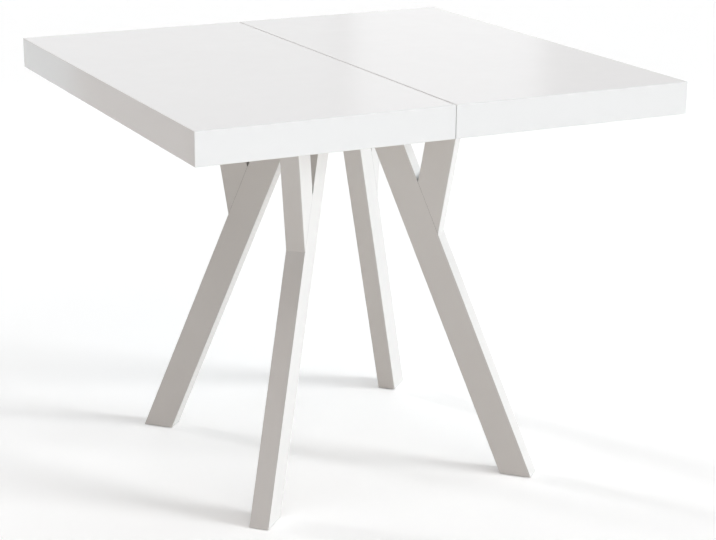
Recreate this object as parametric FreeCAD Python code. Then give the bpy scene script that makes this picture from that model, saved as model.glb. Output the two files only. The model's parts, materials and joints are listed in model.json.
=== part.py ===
import FreeCAD, Part
import math
import os

# A square dining table that extends along X, drawn closed, in millimetres.
# The origin is on the floor under the middle of the top, and the seam between the two half tops
# is the plane X = 0. Each half stands on two forked legs, and the halves draw apart on two slides.
# Every leg lies in an upright plane along a diagonal of the top.

# Half tops: a board with a deep mitred apron on its outer sides
top_length = 900.0
top_depth = 900.0
table_height = 760.0
edge_height = 56.0
board_thickness = 18.0
apron_thickness = 18.0
seam_gap = 0.8
edge_ease = 1.2

# Glue blocks in the outer corners
block_side = 60.0
block_nose = 12.0
block_height = 30.0

# Forked legs, with reaches taken from the middle of the table along the diagonal
bar_width = 55.0
bar_thickness = 36.0
bar_round = 1.0
foot_inner_reach = 335.0
bar_top_inner_reach = 35.0
fork_height = 452.0
branch_top_reach = 250.0
pad_thickness = 1.0
pad_margin = 2.0

# Dowels in the fork, spaced along the joint from its lower end
dowel_count = 2
dowel_radius = 5.0
dowel_in_bar = 25.0
dowel_in_branch = 18.0
first_dowel = 45.0
dowel_spacing = 34.0
glue_gap = 0.1

# Steel plate and bolts on the head of each leg, and the bearer that the plates are screwed to
plate_thickness = 4.0
plate_nose = 4.0
plate_ear = 17.0
plate_margin = 12.0
plate_clip = 8.0
plate_screw_margin = 14.0
bolt_radius = 4.0
bolt_head_radius = 7.5
bolt_length = 45.0
bearer_thickness = 18.0
bearer_margin = 10.0
bearer_seam_gap = 8.0

# Slides: a channel rail on each half and a beam that runs in both
rail_height = 32.0
rail_depth = 20.0
rail_wall = 2.5
rail_lip = 11.0
rail_ear = 14.0
rail_spacing = 7.0
rail_end_gap = 12.0
packer_thickness = 2.0
packer_seam_gap = 20.0
beam_flange = 5.0
beam_flange_height = 22.0
beam_web = 5.0
beam_side_gap = 0.8
glide_length = 30.0
glide_gap = 0.3
slide_travel = 500.0
slide_to_lock = 5.0

# Pins that stop the beams at full travel
stop_radius = 3.0
stop_reach = 8.0
stop_head_radius = 5.0
stop_head_height = 2.0
stop_play = 0.5

# Wood screws, and the number of flat sides on screws, bolts, dowels and stop pins
fastener_sides = 8
screw_radius = 2.0
screw_head_radius = 4.0
screw_crown_radius = 2.6
screw_head_height = 2.2
screw_point = 3.0
screw_tip_radius = 0.6
screw_cover = 4.0
screw_gap = 0.1
rail_screw_count = 3
rail_screw_margin = 25.0

# Pins that line the half tops up at the seam
pin_radius = 4.0
pin_set = 18.0
pin_reach = 12.0
pin_nose = 2.5
pin_gap = 0.3
pin_count = 3
pin_spacing = 200.0

# Hook locks under the seam, drawn unlocked
lock_to_seam = 22.0
stud_to_seam = 14.0
lock_to_apron = 6.0
lock_plate_thickness = 2.0
lock_plate_half = 15.0
lock_plate_clip = 4.0
lock_screw_offset = 10.0
keeper_seam_gap = 2.0
stud_radius = 2.5
stud_head_radius = 4.5
stud_head_height = 1.5
hook_gap = 0.4
hook_wall = 4.5
hook_half_width = 9.0
hook_round = 3.0
lever_thickness = 2.5
lever_room = 2.8
lever_gap = 0.3
grip_length = 28.0
grip_half_width = 7.0
grip_drop = 12.0
rivet_radius = 3.0
rivet_gap = 0.1
rivet_head_radius = 6.0
rivet_head_height = 2.0

# How far a cutting shape runs past the face it leaves, and the least length that counts
overrun = 5.0
touch = 0.001

Vector = FreeCAD.Vector
ORIGIN = Vector(0, 0, 0)
AXIS_X = Vector(1, 0, 0)
AXIS_Y = Vector(0, 1, 0)
AXIS_Z = Vector(0, 0, 1)
QUARTER_TURN = 90.0
LEFT, RIGHT = -1, 1
FRONT, BACK = -1, 1
SIDE_NAMES = {LEFT: "left", RIGHT: "right"}
END_NAMES = {FRONT: "front", BACK: "back"}

# Levels and reaches that follow from the sizes above
half_length = top_length / 2
half_depth = top_depth / 2
inner_length = half_length - apron_thickness
inner_depth = half_depth - apron_thickness
seam_face = seam_gap / 2
board_under = table_height - board_thickness
edge_bottom = table_height - edge_height
bearer_under = board_under - bearer_thickness
leg_top = bearer_under - plate_thickness

bar_slope = (foot_inner_reach - bar_top_inner_reach) / leg_top
bar_lean = math.atan(bar_slope)
bar_span = bar_width / math.cos(bar_lean)
fork_reach = foot_inner_reach + bar_span - bar_slope * fork_height
branch_slope = (branch_top_reach - fork_reach) / (leg_top - fork_height)
branch_lean = math.atan(branch_slope)
branch_span = bar_width / math.cos(branch_lean)
notch_height = fork_height + branch_span / (bar_slope + branch_slope)
bar_direction = Vector(-math.sin(bar_lean), 0, math.cos(bar_lean))
branch_direction = Vector(math.sin(branch_lean), 0, math.cos(branch_lean))
joint_normal = Vector(math.cos(bar_lean), 0, math.sin(bar_lean))

plate_start = bar_top_inner_reach - plate_nose
plate_end = branch_top_reach + plate_margin
plate_tip_half = bar_thickness / 2 + plate_nose
plate_half = bar_thickness / 2 + plate_ear
bearer_reach = (plate_end + plate_half) / math.sqrt(2) + bearer_margin

lock_plate_under = board_under - lock_plate_thickness
lever_top = lock_plate_under - lever_room
lever_under = lever_top - lever_thickness
hook_radius = lock_to_seam + stud_to_seam
hook_slot = stud_radius + hook_gap
hook_reach = hook_radius + hook_slot + hook_wall
lock_y = inner_depth - lock_to_apron - grip_length

rail_near = rail_spacing / 2
rail_far = rail_near + rail_depth
rail_reach = rail_far + rail_ear
rail_top = board_under - packer_thickness
rail_half = inner_length - rail_end_gap
slide_y = lock_y - hook_reach - slide_to_lock - rail_reach
slide_level = rail_top - rail_height / 2
flange_near = rail_near + rail_wall + beam_side_gap
flange_far = flange_near + beam_flange
flange_top = slide_level + beam_flange_height / 2
flange_under = slide_level - beam_flange_height / 2
stop_x = rail_half - glide_length - slide_travel - stop_play - stop_radius


def flat_face(points):
    return Part.Face(Part.makePolygon(points + points[:1]))


def prism(points, sweep):
    """Solid swept from a flat outline."""
    return flat_face(points).extrude(sweep)


def rod(radius, length, foot):
    return Part.makeCylinder(radius, length, foot)


def ring(radius, middle, axis):
    """Corners of a regular outline round an axis."""
    across = AXIS_Y if abs(axis.y) < touch else AXIS_X
    upward = axis.cross(across)
    corners = []
    for side in range(fastener_sides):
        turn = 2 * math.pi * (side + 0.5) / fastener_sides
        corners.append(middle + (across * math.cos(turn) + upward * math.sin(turn)) * radius)
    return corners


def fastener(profile, foot, axis=AXIS_Z):
    """Small flat-sided solid through rings of (radius, distance along the axis)."""
    rings = [ring(radius, foot + axis * distance, axis) for radius, distance in profile]
    faces = [flat_face(rings[0]), flat_face(rings[-1])]
    for low, high in zip(rings, rings[1:]):
        for side in range(fastener_sides):
            faces.append(flat_face([low[side - 1], low[side], high[side], high[side - 1]]))
    return Part.makeSolid(Part.makeShell(faces)).removeSplitter()


def flat_sided_rod(radius, length, foot, axis=AXIS_Z):
    return fastener([(radius, 0), (radius, length)], foot, axis)


def cut_all(solid, tools):
    return solid.cut(Part.makeCompound(tools)) if tools else solid


def edges_along(solid, direction):
    """Straight edges of a solid that run along a direction."""
    found = []
    for edge in solid.Edges:
        straight = isinstance(edge.Curve, Part.Line)
        if straight and abs(edge.tangentAt(edge.FirstParameter).dot(direction)) > 1 - touch:
            found.append(edge)
    return found


def edges_past(edges, start):
    return [edge for edge in edges if edge.CenterOfMass.x > start]


def rounded(solid, direction, radius):
    return solid.makeFillet(radius, edges_along(solid, direction))


def mirrored(solid, normal):
    return solid.mirror(ORIGIN, normal)


def save(name, solids):
    shape = solids[0] if len(solids) == 1 else Part.makeCompound(solids)
    shape.exportStep("parts/" + name + ".step")


# Wood screw with a raised head, driven upwards from its seat
def wood_screw(seat, through, into):
    length = through + into
    profile = [(screw_crown_radius, -screw_head_height), (screw_head_radius, 0), (screw_radius, 0),
               (screw_radius, length - screw_point), (screw_tip_radius, length)]
    return fastener(profile, seat)


def screw_hole(seat, through, into):
    """Clearance hole for a wood screw, from its seat to just past its tip."""
    return flat_sided_rod(screw_radius + screw_gap, through + into + screw_gap, seat)


# Half top: board, end apron, front apron and back apron of the right half
def mitre_core():
    """Space inside the mitre planes, which run from the outer arris to the corner under the board."""
    rise = board_thickness + overrun
    spread = apron_thickness * rise / board_thickness
    top = board_under + rise
    along = [Vector(-overrun, -top_depth, board_under), Vector(inner_length, -top_depth, board_under),
             Vector(inner_length + spread, -top_depth, top), Vector(-overrun, -top_depth, top)]
    across = [Vector(-overrun, -inner_depth, board_under), Vector(-overrun, inner_depth, board_under),
              Vector(-overrun, inner_depth + spread, top), Vector(-overrun, -inner_depth - spread, top)]
    return prism(along, AXIS_Y * 2 * top_depth).common(prism(across, AXIS_X * top_length))


def half_top():
    slab = Part.makeBox(half_length - seam_face, top_depth, edge_height,
                        Vector(seam_face, -half_depth, edge_bottom))
    slab = slab.makeChamfer(edge_ease, slab.Edges)
    core = mitre_core()
    cavity = Part.makeBox(inner_length, 2 * inner_depth, edge_height - board_thickness + overrun,
                          Vector(0, -inner_depth, edge_bottom - overrun))
    walls = slab.cut(core).cut(cavity)
    base = edge_bottom - overrun
    spread = apron_thickness + overrun
    end_plan = [Vector(inner_length, -inner_depth, base), Vector(inner_length, inner_depth, base),
                Vector(inner_length + spread, inner_depth + spread, base),
                Vector(inner_length + spread, -inner_depth - spread, base)]
    end_space = prism(end_plan, AXIS_Z * (edge_height + 2 * overrun))
    front, back = sorted(walls.cut(end_space).Solids, key=lambda solid: solid.CenterOfMass.y)
    return slab.common(core), walls.common(end_space), front, back


def corner_block(end):
    """Five-sided glue block in an outer corner of the right half."""
    reach = [(0, 0), (0, block_side), (block_nose, block_side), (block_side, block_nose), (block_side, 0)]
    plan = []
    for along, across in reach:
        plan.append(Vector(inner_length - along, end * (inner_depth - across), board_under))
    return prism(plan, AXIS_Z * -block_height)


# Forked leg, drawn along +X and turned to its diagonal afterwards
def leg_sheet(outline):
    """Piece of the leg cut from an outline of (reach, height), as thick as the bars."""
    points = [Vector(reach, -bar_thickness / 2, height) for reach, height in outline]
    return prism(points, AXIS_Y * bar_thickness)


def bar_inner(height):
    return foot_inner_reach - bar_slope * height


def dowels(gap):
    """Dowels across the fork, or the holes for them where a gap is given."""
    lower = Vector(fork_reach, 0, fork_height)
    length = dowel_in_bar + dowel_in_branch + 2 * gap
    places = [lower + bar_direction * (first_dowel + row * dowel_spacing) for row in range(dowel_count)]
    heels = [place - joint_normal * (dowel_in_bar + gap) for place in places]
    return [flat_sided_rod(dowel_radius + gap, length, heel, joint_normal) for heel in heels]


def leg_bolts(gap):
    """Countersunk bolts down into both heads of the leg, or the holes for them."""
    profile = [(bolt_head_radius + gap, 0), (bolt_radius + gap, bolt_head_radius - bolt_radius),
               (bolt_radius + gap, bolt_length + gap)]
    middles = (bar_top_inner_reach + bar_span / 2, branch_top_reach - branch_span / 2)
    return [fastener(profile, Vector(reach, 0, bearer_under), -AXIS_Z) for reach in middles]


def leg_bar():
    foot = bar_inner(pad_thickness)
    outline = [(foot, pad_thickness), (foot + bar_span, pad_thickness),
               (bar_top_inner_reach + bar_span, leg_top), (bar_top_inner_reach, leg_top)]
    bar = rounded(leg_sheet(outline), bar_direction, bar_round)
    return cut_all(bar, dowels(glue_gap) + leg_bolts(screw_gap))


def leg_branch():
    notch_reach = bar_inner(notch_height) + bar_span
    outline = [(fork_reach, fork_height), (branch_top_reach, leg_top),
               (branch_top_reach - branch_span, leg_top), (notch_reach, notch_height)]
    branch = rounded(leg_sheet(outline), branch_direction, bar_round)
    return cut_all(branch, dowels(glue_gap) + leg_bolts(screw_gap))


def foot_pad():
    near = bar_inner(pad_thickness) + pad_margin
    far = bar_inner(pad_thickness) + bar_span - pad_margin
    half = bar_thickness / 2 - pad_margin
    return Part.makeBox(far - near, 2 * half, pad_thickness, Vector(near, -half, 0))


def plate_screw_seats():
    across = bar_thickness / 2 + plate_ear / 2
    widening = plate_half - plate_tip_half
    reaches = (plate_start + widening + plate_screw_margin, plate_end - plate_screw_margin)
    return [Vector(reach, side * across, leg_top) for reach in reaches for side in (-1, 1)]


def plate_screws(make):
    into = bearer_thickness - screw_cover
    return [make(seat, plate_thickness, into) for seat in plate_screw_seats()]


def leg_plate():
    """Steel plate over both heads, narrowed at 45 degrees towards the middle of the table."""
    shoulder = plate_start + plate_half - plate_tip_half
    half = [(plate_start, plate_tip_half), (shoulder, plate_half), (plate_end - plate_clip, plate_half),
            (plate_end, plate_half - plate_clip)]
    outline = half + [(reach, -across) for reach, across in reversed(half)]
    plate = prism([Vector(reach, across, leg_top) for reach, across in outline], AXIS_Z * plate_thickness)
    return cut_all(plate, leg_bolts(screw_gap) + plate_screws(screw_hole))


def on_diagonal(solids, side, end):
    """Copies of a leg's pieces, turned to the diagonal of its quarter of the table."""
    angle = math.degrees(math.atan2(end, side))
    copies = []
    for solid in solids:
        copy = solid.copy()
        copy.rotate(ORIGIN, AXIS_Z, angle)
        copies.append(copy)
    return copies


def leg_bearer(side):
    """Board under a half top that both of its leg plates are screwed to, with its outer corners cut off."""
    start = seam_face + bearer_seam_gap
    corner = 2 * bearer_reach - math.sqrt(2) * (plate_end + bearer_margin)
    clipped = bearer_reach - corner
    half = [(start, bearer_reach), (clipped, bearer_reach), (bearer_reach, clipped)]
    plan = half + [(along, -across) for along, across in reversed(half)]
    corners = [Vector(side * along, across, bearer_under) for along, across in plan]
    board = prism(corners, AXIS_Z * bearer_thickness)
    holes = []
    for end in (FRONT, BACK):
        holes += on_diagonal(plate_screws(screw_hole), side, end)
    return cut_all(board, holes)


# Slides. The left rail lies on the outer side of its beam, the right rail on the inner side.
def slide_bar(section, start, length, side, end):
    """Bar along X with a section of points (distance from the slide's middle plane, level)."""
    points = [Vector(start, end * (slide_y - side * distance), level) for distance, level in section]
    return prism(points, AXIS_X * length)


def rail_screw_seats(side, end):
    """Seats in the rail's ear, along its own half of the table."""
    first = packer_seam_gap + rail_screw_margin
    step = (rail_half - rail_screw_margin - first) / (rail_screw_count - 1)
    across = end * (slide_y - side * (rail_far + rail_ear / 2))
    places = [side * (first + step * row) for row in range(rail_screw_count)]
    return [Vector(along, across, rail_top - rail_wall) for along in places]


def rail_screws(side, end, make):
    into = board_thickness - screw_cover
    return [make(seat, rail_wall + packer_thickness, into) for seat in rail_screw_seats(side, end)]


def stop_pin(side, end, gap):
    """Headed pin through the rail's back wall, or the hole for its shank."""
    inward = AXIS_Y * end * side
    wall = Vector(side * stop_x, end * (slide_y - side * rail_far), slide_level)
    length = rail_wall + stop_reach
    if gap:
        return flat_sided_rod(stop_radius + gap, length, wall, inward)
    profile = [(stop_head_radius, -stop_head_height), (stop_head_radius, 0),
               (stop_radius, 0), (stop_radius, length)]
    return fastener(profile, wall, inward)


def rail(side, end):
    """Channel with a lip above and below its slot, and an ear to screw it up by."""
    bottom = rail_top - rail_height
    floor, ceiling = bottom + rail_wall, rail_top - rail_wall
    near_inside, far_inside = rail_near + rail_wall, rail_far - rail_wall
    section = [(rail_near, rail_top), (rail_reach, rail_top), (rail_reach, ceiling), (rail_far, ceiling),
               (rail_far, bottom), (rail_near, bottom), (rail_near, bottom + rail_lip),
               (near_inside, bottom + rail_lip), (near_inside, floor), (far_inside, floor),
               (far_inside, ceiling), (near_inside, ceiling), (near_inside, rail_top - rail_lip),
               (rail_near, rail_top - rail_lip)]
    bar = slide_bar(section, -rail_half, 2 * rail_half, side, end)
    return cut_all(bar, rail_screws(side, end, screw_hole) + [stop_pin(side, end, screw_gap)])


def rail_packer(side, end):
    """Strip that holds a rail clear of the other half top."""
    section = [(rail_near, rail_top), (rail_reach, rail_top),
               (rail_reach, board_under), (rail_near, board_under)]
    start = min(side * packer_seam_gap, side * rail_half)
    strip = slide_bar(section, start, rail_half - packer_seam_gap, side, end)
    return cut_all(strip, rail_screws(side, end, screw_hole))


def beam(end):
    """Beam with a flange in each rail and a web through the slots between the rails' lips."""
    web_top, web_under = slide_level + beam_web / 2, slide_level - beam_web / 2
    half = [(flange_near, web_top), (flange_near, flange_top), (flange_far, flange_top),
            (flange_far, flange_under), (flange_near, flange_under), (flange_near, web_under)]
    section = half + [(-distance, level) for distance, level in reversed(half)]
    return slide_bar(section, -rail_half, 2 * rail_half, RIGHT, end)


def glide(start, near, gap_to_rail, gap_to_beam, side, end):
    """Nylon shoe round a flange of the beam, open towards the web."""
    top = rail_top - rail_wall - gap_to_rail
    bottom = rail_top - rail_height + rail_wall + gap_to_rail
    far = rail_far - rail_wall - gap_to_rail
    slot = flange_far + gap_to_beam
    slot_top, slot_under = flange_top + gap_to_beam, flange_under - gap_to_beam
    section = [(near, top), (far, top), (far, bottom), (near, bottom),
               (near, slot_under), (slot, slot_under), (slot, slot_top), (near, slot_top)]
    return slide_bar(section, start, glide_length, side, end)


def rail_glide(side, end):
    """Shoe fixed in the open end of a rail, where the beam runs out."""
    start = -rail_half if side == RIGHT else rail_half - glide_length
    return glide(start, rail_near + rail_wall, 0, glide_gap, side, end)


def beam_glide(side, end):
    """Shoe fixed on the end of the beam that stays in the rail."""
    start = rail_half - glide_length if side == RIGHT else -rail_half
    return glide(start, flange_near, glide_gap, 0, side, end)


# Seam pins, set in the right board, with sockets in the left board
def seam_pins(gap):
    """Pins along X across the seam, or the spaces for them where a gap is given."""
    heel = seam_face + pin_set + gap
    length = heel + seam_face + pin_reach + gap
    radius = pin_radius + gap
    profile = [(radius, 0), (radius, length - pin_nose), (radius - pin_nose, length)]
    level = board_under + board_thickness / 2
    rows = [row - (pin_count - 1) / 2 for row in range(pin_count)]
    return [fastener(profile, Vector(heel, row * pin_spacing, level), -AXIS_X) for row in rows]


# Locks. Each is drawn at the front of the table and mirrored for the back.
def clipped_plate(plate):
    return plate.makeChamfer(lock_plate_clip, edges_along(plate, AXIS_Z))


def lock_base():
    plate = Part.makeBox(2 * lock_plate_half, 2 * lock_plate_half, lock_plate_thickness,
                         Vector(-lock_to_seam - lock_plate_half, -lock_y - lock_plate_half, lock_plate_under))
    middle = Vector(-lock_to_seam, -lock_y, lock_plate_under)
    hole = flat_sided_rod(rivet_radius + screw_gap, lock_plate_thickness, middle)
    return cut_all(clipped_plate(plate), [hole] + lock_screws(LEFT, screw_hole))


def lock_screws(side, make):
    """Screws at two opposite corners of the base, or at the far side of the keeper."""
    if side == LEFT:
        middle = Vector(-lock_to_seam, -lock_y, lock_plate_under)
        corners = ((-1, -1), (1, 1))
    else:
        middle = Vector(stud_to_seam, -lock_y, lock_plate_under)
        corners = ((1, -1), (1, 1))
    into = board_thickness - screw_cover
    seats = [middle + Vector(along, across, 0) * lock_screw_offset for along, across in corners]
    return [make(seat, lock_plate_thickness, into) for seat in seats]


def lock_rivet():
    """Shouldered rivet with a round shank that the lever turns on."""
    foot = Vector(-lock_to_seam, -lock_y, 0)
    head_top = lever_under - lever_gap
    shoulder = lever_top + lever_gap
    shank = rod(rivet_radius, shoulder - head_top, foot + AXIS_Z * head_top)
    head = flat_sided_rod(rivet_head_radius, rivet_head_height, foot + AXIS_Z * head_top, -AXIS_Z)
    profile = [(rivet_head_radius, shoulder), (rivet_head_radius, lock_plate_under),
               (rivet_radius, lock_plate_under), (rivet_radius, board_under)]
    return shank.multiFuse([head, fastener(profile, foot)]).removeSplitter()


def lock_lever():
    """Hook on one side of the pivot, grip on the other. Its slot follows the stud's path round the pivot."""
    foot = Vector(0, 0, lever_under)
    arm = Part.makeBox(hook_reach, 2 * hook_half_width, lever_thickness, foot - AXIS_Y * hook_half_width)
    arm = arm.makeFillet(hook_round, edges_past(edges_along(arm, AXIS_Z), hook_reach / 2))
    grip = Part.makeBox(grip_length, 2 * grip_half_width, lever_thickness,
                        foot - Vector(grip_length, grip_half_width, 0))
    tab = Part.makeBox(lever_thickness, 2 * grip_half_width, grip_drop,
                       foot - Vector(grip_length, grip_half_width, grip_drop))
    lever = arm.multiFuse([rod(hook_half_width, lever_thickness, foot), grip, tab]).removeSplitter()
    path = rod(hook_radius + hook_slot, lever_thickness, foot)
    path = path.cut(rod(hook_radius - hook_slot, lever_thickness, foot))
    corner = foot - Vector(hook_reach, hook_reach, 0)
    mouth = Part.makeBox(2 * hook_reach, hook_reach, lever_thickness, corner)
    slot_end = rod(hook_slot, lever_thickness, foot + AXIS_X * hook_radius)
    pivot = rod(rivet_radius + rivet_gap, lever_thickness, foot)
    lever = cut_all(lever, [path.common(mouth), slot_end, pivot])
    lever.rotate(ORIGIN, AXIS_Z, QUARTER_TURN)
    lever.translate(Vector(-lock_to_seam, -lock_y, 0))
    return lever


def lock_keeper():
    """Plate on the right half with the headed stud that the hook takes."""
    start = seam_face + keeper_seam_gap
    plate = Part.makeBox(stud_to_seam + lock_plate_half - start, 2 * lock_plate_half, lock_plate_thickness,
                         Vector(start, -lock_y - lock_plate_half, lock_plate_under))
    head_top = lever_under - lever_gap
    profile = [(stud_head_radius, head_top - stud_head_height), (stud_head_radius, head_top),
               (stud_radius, head_top), (stud_radius, board_under)]
    stud = fastener(profile, Vector(stud_to_seam, -lock_y, 0))
    return cut_all(clipped_plate(plate).fuse(stud).removeSplitter(), lock_screws(RIGHT, screw_hole))


def front_and_back(solids):
    return solids + [mirrored(solid, AXIS_Y) for solid in solids]


def build():
    os.makedirs("parts", exist_ok=True)
    board, end_apron, front_apron, back_apron = half_top()
    blocks = [corner_block(end) for end in (FRONT, BACK)]
    bar, branch, plate, pad = leg_bar(), leg_branch(), leg_plate(), foot_pad()
    sockets = {LEFT: seam_pins(pin_gap), RIGHT: seam_pins(glue_gap)}

    for side in (LEFT, RIGHT):
        name = SIDE_NAMES[side]
        half = [board, end_apron, front_apron, back_apron] + blocks
        if side == LEFT:
            half = [mirrored(solid, AXIS_X) for solid in half]
        holes = sockets[side] + front_and_back(lock_screws(side, screw_hole))
        screws = []
        for end in (FRONT, BACK):
            holes += rail_screws(side, end, screw_hole)
            screws += rail_screws(side, end, wood_screw)
        save(name + "_top_board", [cut_all(half[0], holes)])
        save(name + "_end_apron", [half[1]])
        save(name + "_front_apron", [half[2]])
        save(name + "_back_apron", [half[3]])
        save(name + "_corner_blocks", half[4:])
        save(name + "_leg_bearer", [leg_bearer(side)])
        save(name + "_rail_screws", screws)
        save(name + "_rail_packers", [rail_packer(side, end) for end in (FRONT, BACK)])
        save(name + "_rail_glides", [rail_glide(side, end) for end in (FRONT, BACK)])
        save(name + "_stop_pins", [stop_pin(side, end, 0) for end in (FRONT, BACK)])
        save(name + "_lock_screws", front_and_back(lock_screws(side, wood_screw)))
        fork_dowels, bolts, ear_screws = [], [], []
        for end in (FRONT, BACK):
            corner = END_NAMES[end] + "_" + name
            save(corner + "_leg_bar", on_diagonal([bar], side, end))
            save(corner + "_leg_branch", on_diagonal([branch], side, end))
            save(corner + "_leg_plate", on_diagonal([plate], side, end))
            save(corner + "_foot_pad", on_diagonal([pad], side, end))
            save(corner + "_rail", [rail(side, end)])
            fork_dowels += on_diagonal(dowels(0), side, end)
            bolts += on_diagonal(leg_bolts(0), side, end)
            ear_screws += on_diagonal(plate_screws(wood_screw), side, end)
        save(name + "_leg_dowels", fork_dowels)
        save(name + "_leg_bolts", bolts)
        save(name + "_leg_plate_screws", ear_screws)

    for end in (FRONT, BACK):
        save(END_NAMES[end] + "_slide_beam", [beam(end)])
        save(END_NAMES[end] + "_beam_glides", [beam_glide(side, end) for side in (LEFT, RIGHT)])
    save("seam_pins", seam_pins(0))
    save("lock_bases", front_and_back([lock_base()]))
    save("lock_rivets", front_and_back([lock_rivet()]))
    save("lock_keepers", front_and_back([lock_keeper()]))
    lever = lock_lever()
    save("front_lock_lever", [lever])
    save("back_lock_lever", [mirrored(lever, AXIS_Y)])


build()
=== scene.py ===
# %% [markdown]
# # A white extending dining table
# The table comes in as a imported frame: every piece is already at its real size and place, in metres, with
# +X along the way the right half draws out, +Y from front to back and +Z up. This lesson remodels the
# pieces whose edges catch the light, gives every piece its finish, and sets up a plain studio round them.

# %% Load the frame
import json
import math

import bpy
from mathutils import Matrix, Vector


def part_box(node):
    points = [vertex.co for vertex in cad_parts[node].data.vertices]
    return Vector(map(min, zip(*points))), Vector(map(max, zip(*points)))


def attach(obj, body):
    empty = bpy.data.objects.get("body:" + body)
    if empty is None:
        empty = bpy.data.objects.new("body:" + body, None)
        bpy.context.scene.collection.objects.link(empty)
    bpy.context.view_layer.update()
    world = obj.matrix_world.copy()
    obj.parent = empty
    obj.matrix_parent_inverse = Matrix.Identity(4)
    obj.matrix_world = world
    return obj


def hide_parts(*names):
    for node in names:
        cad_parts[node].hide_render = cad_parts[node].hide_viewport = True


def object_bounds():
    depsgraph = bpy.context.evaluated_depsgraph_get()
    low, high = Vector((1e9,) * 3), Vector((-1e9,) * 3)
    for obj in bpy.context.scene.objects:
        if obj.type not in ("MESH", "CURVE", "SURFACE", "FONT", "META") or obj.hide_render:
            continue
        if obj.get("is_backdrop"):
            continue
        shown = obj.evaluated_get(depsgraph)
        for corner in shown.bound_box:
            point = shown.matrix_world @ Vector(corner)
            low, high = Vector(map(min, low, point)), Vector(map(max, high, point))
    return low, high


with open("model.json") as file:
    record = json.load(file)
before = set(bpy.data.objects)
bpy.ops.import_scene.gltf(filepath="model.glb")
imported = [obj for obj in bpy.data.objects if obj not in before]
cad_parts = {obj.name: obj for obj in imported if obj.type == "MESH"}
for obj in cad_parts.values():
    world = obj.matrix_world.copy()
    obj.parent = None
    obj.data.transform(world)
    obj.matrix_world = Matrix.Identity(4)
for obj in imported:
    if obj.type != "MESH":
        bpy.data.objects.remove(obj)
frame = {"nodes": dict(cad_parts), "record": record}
cad_low, cad_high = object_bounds()
nodes = frame["nodes"]
behaviour = frame["record"]["behaviour"]
body_of = {node: body for body, members in behaviour["bodies"].items() for node in members}
print("frame:", len(nodes), "nodes,", [round(side, 3) for side in cad_high - cad_low], "m")

# %% [markdown]
# ## Camera
# The picture is taken from the front left, a little above the top, with a long lens. The place, the lens
# and the angles were worked out from the corners of the top and the feet. A small sideways shift stands
# for a picture that was cut off-centre.

# %% Place the camera
PICTURE_WIDTH = 716
SENSOR_WIDTH = 36.0
FOCAL_LENGTH_PIXELS = 1817.4
CENTRE_PIXEL_X = 320.8
CAMERA_PLACE = (-1.4147, -2.9399, 1.3630)
CAMERA_TURN = 0.4408
CAMERA_DIP = 0.2987

lens = bpy.data.cameras.new("camera")
lens.sensor_width = SENSOR_WIDTH
lens.lens = FOCAL_LENGTH_PIXELS * SENSOR_WIDTH / PICTURE_WIDTH
lens.shift_x = 0.5 - CENTRE_PIXEL_X / PICTURE_WIDTH
camera = bpy.data.objects.new("camera", lens)
camera.location = CAMERA_PLACE
camera.rotation_euler = (math.pi / 2 - CAMERA_DIP, 0, -CAMERA_TURN)
bpy.context.scene.collection.objects.link(camera)
bpy.context.scene.camera = camera
bpy.context.scene.view_settings.view_transform = "Standard"
print("camera: lens", round(lens.lens, 1), "mm, shift", round(lens.shift_x, 3))

# %% [markdown]
# ## Writing shaders as sums
# A finish is easier to read as `0.3 + 0.1 * noise` than as a row of linked boxes. `Wire` wraps one socket
# of a node, and adding or multiplying wires adds the Math nodes. `Finish` is one material, or the world:
# its `node` method makes any other node, and `surface` fills the sockets of the shader itself.

# %% Wire
class Wire:
    """An output socket that sums can be written on."""

    def __init__(self, finish, socket):
        self.finish = finish
        self.socket = socket

    def sum(self, operation, first, second):
        return self.finish.node("ShaderNodeMath", {"operation": operation}, {0: first, 1: second})

    def __add__(self, other):
        return self.sum("ADD", self, other)

    __radd__ = __add__

    def __sub__(self, other):
        return self.sum("SUBTRACT", self, other)

    def __rsub__(self, other):
        return self.sum("SUBTRACT", other, self)

    def __mul__(self, other):
        return self.sum("MULTIPLY", self, other)

    __rmul__ = __mul__

    def __abs__(self):
        return self.sum("ABSOLUTE", self, 0)

    def or_more(self, other):
        """The larger of two values."""
        return self.sum("MAXIMUM", self, other)


print("wires can be added, subtracted, multiplied and compared")

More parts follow.
